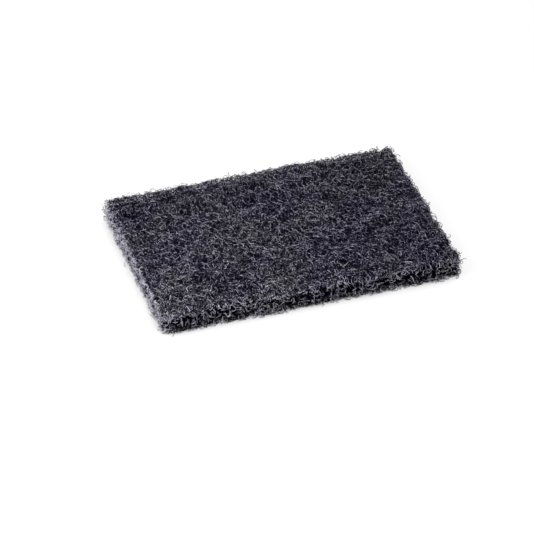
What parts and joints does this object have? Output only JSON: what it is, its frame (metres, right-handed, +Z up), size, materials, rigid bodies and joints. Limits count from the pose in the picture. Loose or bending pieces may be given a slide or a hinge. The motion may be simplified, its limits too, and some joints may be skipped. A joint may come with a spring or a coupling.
{
  "type": "scouring pad",
  "caption": "Flat rectangular block of stiff, open, grit-coated fibre web with ragged cut edges, for scrubbing pans and benches by hand.",
  "frame": {"origin": "on the surface that the pad lies on, under the middle of its outline", "axes": "+X along the long sides, +Y across them towards the far long side, +Z up through the thickness"},
  "size_m": [0.1506, 0.1002, 0.011],
  "materials": {
    "fibre_web": "matt, gritty, bluish charcoal"
  },
  "bodies": {
    "root": {"fibre_pad": "fibre_web"}
  },
  "joints": []
}
